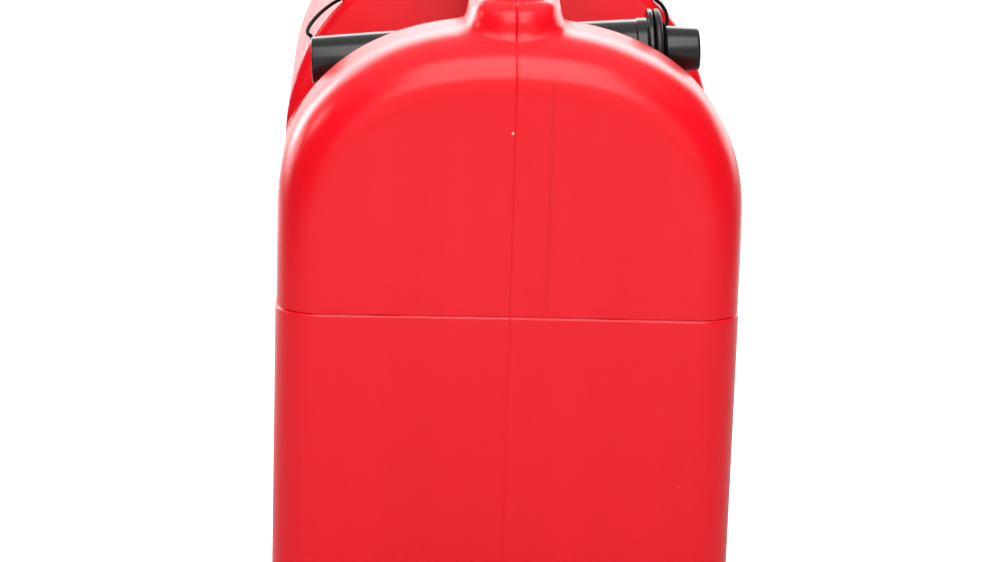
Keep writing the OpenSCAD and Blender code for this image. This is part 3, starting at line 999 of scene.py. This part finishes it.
def mould_lines_with_groove_shade(n):
    """1 along the seam and parting-line grooves, whose darkening is painted shade, and along a fainter dark
    line beside the parting line; 0 elsewhere.
    """
    x, z = n.coordinate("X"), n.coordinate("Z")
    middle = n.range(n.math("ABSOLUTE", x), *PARTING_EDGE, 1.0, 0.0)
    root = n.range(z, (REAR_CREST - 9) * MM, (REAR_CREST - 2) * MM, 0.25, 0.6)
    top_half = n.range(z, (SEAM_Z + 2) * MM, (SEAM_Z + 3) * MM)
    from_insert = n.math("ABSOLUTE", n.math("SUBTRACT", x, INSERT_X * MM))
    beside = n.range(from_insert, *INSERT_EDGE, 0.3, 0.0)
    below_top = n.range(z, *INSERT_FADE_Z, 1.0, 0.0)
    rear = n.range(n.coordinate("Y"), *INSERT_FADE_Y, 1.0, 0.0)
    on_rear = n.math("MULTIPLY", below_top, rear)
    insert = n.math("MULTIPLY", n.math("MULTIPLY", beside, top_half), on_rear)
    from_seam = n.math("ABSOLUTE", n.math("SUBTRACT", z, (SEAM_Z + 0.25) * MM))
    seam = n.range(from_seam, *SEAM_EDGE, 0.8, 0.0)
    upright = n.math("MULTIPLY", n.math("MULTIPLY", middle, root), n.math("MAXIMUM", top_half, 0.4))
    return n.math("MAXIMUM", n.math("MAXIMUM", upright, seam), insert)


def red_plastic():
    """Blow-moulded polyethylene: satin, faintly mottled, with flow streaks and a few specks."""
    n = Nodes("red_polyethylene")
    cloud = n.range(n.noise(9, 3), 0.3, 0.7)
    streak = n.range(n.noise(1, 3, 0.5, n.stretched((55, 55, 2.2))), 0.3, 0.7)
    tone = n.mix(n.math("MULTIPLY_ADD", cloud, 0.5, n.math("MULTIPLY", streak, 0.5)),
                 (0.74, 0.002, 0.010), (0.79, 0.004, 0.014))
    dots = n.math("MULTIPLY", n.specks(52, 0.035), n.range(n.noise(14, 2), 0.62, 0.66))
    speckled = n.mix(dots, tone, (0.8, 0.6, 0.6))
    # Painted shade: the seam and parting-line grooves, and a faint line beside the parting line, turn dark
    # red.
    n.feed("Base Color", n.mix(mould_lines_with_groove_shade(n), speckled, (0.46, 0.001, 0.006)))
    n.feed("Roughness", n.math("MULTIPLY_ADD", n.noise(120, 4), 0.08, 0.21))
    ripple = n.bump(n.noise(26, 2), 0.2, 0.0005)
    fine = n.bump(n.noise(700, 3), 0.05, 0.0001, ripple)
    n.feed("Normal", fine)
    n.set(IOR=1.5, Specular_IOR_Level=0.3)
    return n.material


def black_plastic():
    n = Nodes("black_plastic")
    cloud = n.range(n.noise(60, 4), 0.3, 0.7)
    n.feed("Base Color", n.mix(cloud, (0.004, 0.004, 0.0042), (0.008, 0.0078, 0.008)))
    n.feed("Roughness", n.math("MULTIPLY_ADD", n.noise(240, 4), 0.1, 0.2))
    n.feed("Normal", n.bump(n.noise(1600, 3), 0.15, 0.0001))
    n.set(Specular_IOR_Level=0.4)
    return n.material


def black_rubber():
    n = Nodes("black_rubber")
    cloud = n.range(n.noise(90, 4), 0.3, 0.7)
    n.feed("Base Color", n.mix(cloud, (0.004, 0.004, 0.004), (0.008, 0.008, 0.008)))
    n.feed("Roughness", n.math("MULTIPLY_ADD", n.noise(300, 4), 0.2, 0.3))
    n.feed("Normal", n.bump(n.noise(900, 3), 0.2, 0.0001))
    n.set(Specular_IOR_Level=0.4)
    return n.material


def strainer_steel():
    n = Nodes("strainer_steel")
    n.feed("Base Color", n.mix(n.range(n.noise(300, 3), 0.3, 0.7), (0.5, 0.5, 0.51), (0.66, 0.66, 0.67)))
    n.feed("Roughness", n.math("MULTIPLY_ADD", n.noise(900, 3), 0.2, 0.25))
    n.set(Metallic=1.0)
    return n.material


def cord_elastic():
    n = Nodes("cord_elastic")
    cloud = n.range(n.noise(500, 3), 0.3, 0.7)
    n.feed("Base Color", n.mix(cloud, (0.003, 0.002, 0.002), (0.006, 0.005, 0.005)))
    n.feed("Roughness", n.math("MULTIPLY_ADD", n.noise(700, 3), 0.2, 0.5))
    n.feed("Normal", n.bump(n.noise(2400, 2), 0.3, 0.0001))
    n.set(IOR=1.3, Specular_IOR_Level=0.03)
    return n.material


MATERIALS = {
    "red_polyethylene": red_plastic(),
    "black_plastic": black_plastic(),
    "black_rubber": black_rubber(),
    "strainer_steel": strainer_steel(),
    "cord_elastic": cord_elastic(),
}


def dress(obj, slot_name, body, *nodes):
    """Gives a finished piece its material, body and the CAD nodes that it stands for."""
    obj.data.materials.clear()
    obj.data.materials.append(MATERIALS[slot_name])
    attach(obj, body)
    if nodes:
        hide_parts(*nodes)
    return obj


# ------------------------------------------------------------------ pieces

dress(build_shell(), "red_polyethylene", "can", "can_body")
dress(build_ring(), "black_plastic", "cap_screw", "cap_ring")
dress(build_disc(), "black_plastic", "cap_seal", "closing_disc")
dress(build_cap_gasket(), "black_rubber", "cap_seal", "cap_gasket")
dress(build_spout(), "black_plastic", "spout", "spout_tube")
dress(build_spout_gasket(), "black_rubber", "spout", "spout_gasket")
dress(build_strainer(), "strainer_steel", "spout", "spout_strainer")
dress(build_plug(), "black_rubber", "can", "cord_plug")
dress(build_ferrule(), "black_plastic", "spout", "cord_ferrule")

cord = build_cord()
cord.data.materials.append(MATERIALS["cord_elastic"])
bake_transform(cord)
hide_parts("retaining_cord")

# ------------------------------------------------------------------ stage, light and camera


def area_light(name, place, aim, size, power):
    data = bpy.data.lights.new(name, "AREA")
    data.shape = "RECTANGLE"
    data.size, data.size_y = size
    data.energy = power
    light = bpy.data.objects.new(name, data)
    bpy.context.scene.collection.objects.link(light)
    light.location = place
    light.rotation_euler = (Vector(aim) - Vector(place)).to_track_quat("-Z", "Y").to_euler()
    return light


FLOOR_HALF = 7.0
SWEEP_HALF_W = 0.9        # the white paper sweep runs from front to back; beside it the floor is painted dim for rays other than the camera's
WHITE = 0.94
# Painted shade: rays other than the camera's see the floor PALE, SHADED near the can and DIM beside the
# sweep; the camera sees WHITE.
PALE = 0.78
SHADED = 0.36
PAINTED_FLOOR_GLOW = 0.4           # painted light: extra radiance with which the floor glows behind the can in place of lamps, and which the camera sees everywhere
DIM = 0.15


def build_stage():
    size = FLOOR_HALF
    mesh = bpy.data.meshes.new("floor")
    corners = [(-size, -size, 0), (size, -size, 0), (size, size, 0), (-size, size, 0)]
    mesh.from_pydata(corners, [], [(0, 1, 2, 3)])
    floor = new_object("floor", mesh)
    n = Nodes("pale_floor")
    far = n.range(n.math("ABSOLUTE", n.coordinate("X")), SWEEP_HALF_W, SWEEP_HALF_W + 0.3)
    seen = n.tree.nodes.new("ShaderNodeLightPath").outputs["Is Camera Ray"]
    away = n.tree.nodes.new("ShaderNodeVectorMath")
    away.operation = "LENGTH"
    n.tree.links.new(n.place, away.inputs[0])
    # Painted shade of the can on the floor near it, and of the unlit floor beside the sweep, for rays other
    # than the camera's.
    clear = n.range(away.outputs["Value"], 0.35, 1.3)
    reflected = n.mix(far, n.mix(clear, (SHADED,) * 3, (PALE,) * 3), (DIM,) * 3)
    grain = n.mix(n.noise(3, 2), (WHITE - 0.01,) * 3, (WHITE + 0.01,) * 3)
    n.feed("Base Color", n.mix(seen, reflected, grain))
    n.set(Roughness=0.8, Specular_IOR_Level=0.1, Emission_Color=(1, 1, 1, 1))
    # Painted light: the floor glows behind the can for all rays, and everywhere for camera rays.
    behind = n.range(n.coordinate("Y"), 0.3, 0.9, 0.0, PAINTED_FLOOR_GLOW)
    n.feed("Emission Strength", n.math("MAXIMUM", n.math("MULTIPLY", seen, PAINTED_FLOOR_GLOW), behind))
    mesh.materials.append(n.material)


ROOM = 0.12               # radiance of the room
BACKDROP = 1.6            # added radiance of the bright backdrop, low behind the can
FLANKS = 1.3              # more of it at both sides of the backdrop
BACKLIGHT = 5.2           # radiance of the wide lamp over the backdrop
BACKLIGHT_TURN = math.radians(5)
FRONT = 0.95              # added radiance of the pale wall behind the camera
CEILING = 0.8             # added radiance overhead


def build_world():
    """A room that is dim in front, pale overhead and very bright behind."""
    world = bpy.data.worlds.new("studio")
    bpy.context.scene.world = world
    world.use_nodes = True
    tree = world.node_tree
    back = tree.nodes["Background"]

    def node(kind, **values):
        made = tree.nodes.new(kind)
        for key, value in values.items():
            made.inputs[key].default_value = value
        return made

    def ramped(source, low, high, to_low, to_high):
        made = node("ShaderNodeMapRange", **{"From Min": low, "From Max": high,
                                             "To Min": to_low, "To Max": to_high})
        made.interpolation_type = "SMOOTHSTEP"
        tree.links.new(source, made.inputs["Value"])
        return made.outputs["Result"]

    def calc(operation, a, b):
        made = tree.nodes.new("ShaderNodeMath")
        made.operation = operation
        for socket, value in zip(made.inputs, (a, b)):
            if isinstance(value, float):
                socket.default_value = value
            else:
                tree.links.new(value, socket)
        return made.outputs["Value"]

    way = tree.nodes.new("ShaderNodeSeparateXYZ")
    tree.links.new(tree.nodes.new("ShaderNodeTexCoord").outputs["Generated"], way.inputs["Vector"])
    x, y, z = (way.outputs[axis] for axis in "XYZ")
    level = calc("SQRT", calc("ADD", calc("MULTIPLY", x, x), calc("MULTIPLY", y, y)), 0.0)
    turned = calc("SUBTRACT", calc("MULTIPLY", y, math.cos(BACKLIGHT_TURN)),
                  calc("MULTIPLY", x, math.sin(BACKLIGHT_TURN)))
    facing = calc("DIVIDE", turned, level)
    flanks = calc("SUBTRACT", ramped(facing, 0.35, 0.6, 0.0, FLANKS),
                  ramped(facing, 0.85, 0.97, 0.0, FLANKS))
    flanks = calc("MULTIPLY", flanks, ramped(x, -0.2, 0.2, 2.2, 1.0))
    backdrop = calc("MULTIPLY", calc("ADD", ramped(facing, 0.3, 0.65, 0.0, BACKDROP), flanks),
                    ramped(z, 0.2, 0.3, 1.0, 0.0))
    lamp = calc("MULTIPLY", ramped(facing, 0.74, 0.85, 0.0, BACKLIGHT),
                calc("SUBTRACT", ramped(z, 0.2, 0.32, 0.0, 1.0), ramped(z, 0.55, 0.68, 0.0, 1.0)))
    wall = calc("MULTIPLY", ramped(facing, -0.92, -0.75, FRONT, 0.0), ramped(z, 0.5, 0.75, 1.0, 0.0))
    around = calc("ADD", backdrop, calc("ADD", lamp, wall))
    light = calc("ADD", ramped(z, 0.55, 0.9, ROOM, ROOM + CEILING), around)
    seen = tree.nodes.new("ShaderNodeLightPath").outputs["Is Camera Ray"]
    tree.links.new(calc("MAXIMUM", light, seen), back.inputs["Strength"])
    back.inputs["Color"].default_value = (1, 1, 1, 1)


CAMERA_PLACE = (-0.0664, -1.406, 0.5485)
CAMERA_PITCH = math.radians(14.01)
CAMERA_YAW = math.radians(2.85)
CAMERA_ROLL = math.radians(1.75)
CAMERA_LENS = 108.98      # millimetres, on a sensor 36 mm wide


def build_camera():
    """The camera of the reference view: behind the can, a little to the left and above it."""
    pitch, yaw, roll = CAMERA_PITCH, CAMERA_YAW, CAMERA_ROLL
    forward = Vector((math.sin(yaw) * math.cos(pitch), math.cos(yaw) * math.cos(pitch), -math.sin(pitch)))
    right = Vector((math.cos(yaw), -math.sin(yaw), 0))
    up = right.cross(forward)
    x = right * math.cos(roll) + up * math.sin(roll)
    y = up * math.cos(roll) - right * math.sin(roll)
    data = bpy.data.cameras.new("camera")
    data.sensor_width = 36.0
    data.lens = CAMERA_LENS
    camera = bpy.data.objects.new("camera", data)
    bpy.context.scene.collection.objects.link(camera)
    camera.matrix_world = Matrix((
        (x.x, y.x, -forward.x, CAMERA_PLACE[0]),
        (x.y, y.y, -forward.y, CAMERA_PLACE[1]),
        (x.z, y.z, -forward.z, CAMERA_PLACE[2]),
        (0, 0, 0, 1)))
    bpy.context.scene.camera = camera


# Place, aim, size (metres) and power (watts) of each lamp
LAMPS = {
    "softbox": ((0.055, -1.07, 1.48), (0, -0.15, 0.33), (1.2, 1.45), 23.5),
    "kicker": ((-1.29, 0.12, 0.96), (-0.08, -0.15, 0.3), (0.35, 0.3), 2.0),
    "edge_lamp": ((-1.1, 1.14, 0.72), (-0.08, -0.15, 0.3), (0.5, 0.7), 5.5),
}

build_stage()
build_world()
build_camera()
for lamp_name, settings in LAMPS.items():
    area_light(lamp_name, *settings)
bpy.context.scene.view_settings.view_transform = "Standard"
